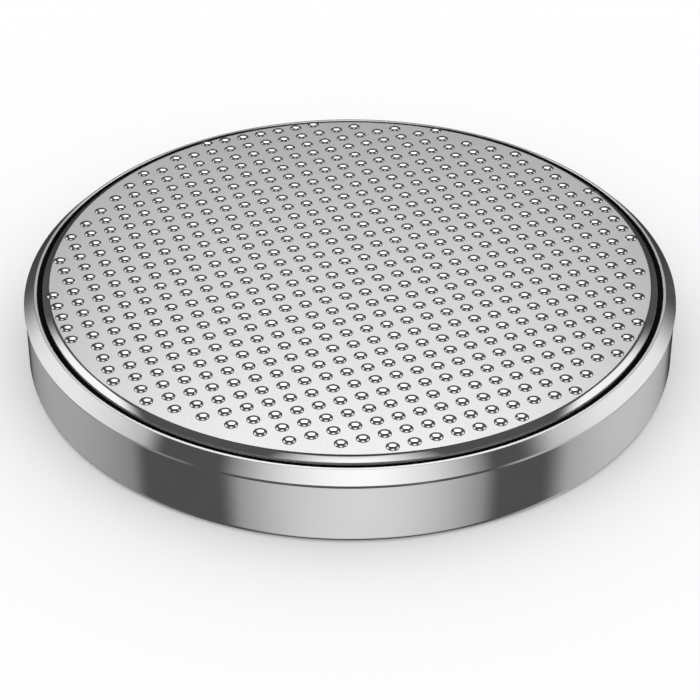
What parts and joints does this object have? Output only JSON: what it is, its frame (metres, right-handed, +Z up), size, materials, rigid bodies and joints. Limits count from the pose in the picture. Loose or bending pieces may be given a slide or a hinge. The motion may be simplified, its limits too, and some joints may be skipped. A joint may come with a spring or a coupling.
{
  "type": "lithium coin cell",
  "caption": "Flat round lithium coin cell: a steel can with a bevelled crimped rim, a black gasket and a negative cap embossed with a grid of small domes.",
  "frame": {"origin": "centre of the can's flat bottom face (the positive pole)", "axes": "+Z up from the positive can to the embossed negative cap; the grid's rows are turned 20 degrees from +X towards +Y"},
  "size_m": [0.02, 0.02, 0.0025],
  "materials": {
    "can_steel": "polished nickel-plated stainless steel",
    "gasket": "black polypropylene",
    "cap_steel": "satin face with polished domes",
    "lithium": "dull metal",
    "separator": "white non-woven",
    "pellet": "pressed black powder",
    "ring_steel": "plain steel sheet"
  },
  "bodies": {
    "root": {"cathode_can": "can_steel", "gasket": "gasket", "anode_cap": "cap_steel", "lithium_anode": "lithium", "separator": "separator", "cathode_pellet": "pellet", "collector_ring": "ring_steel"}
  },
  "joints": []
}
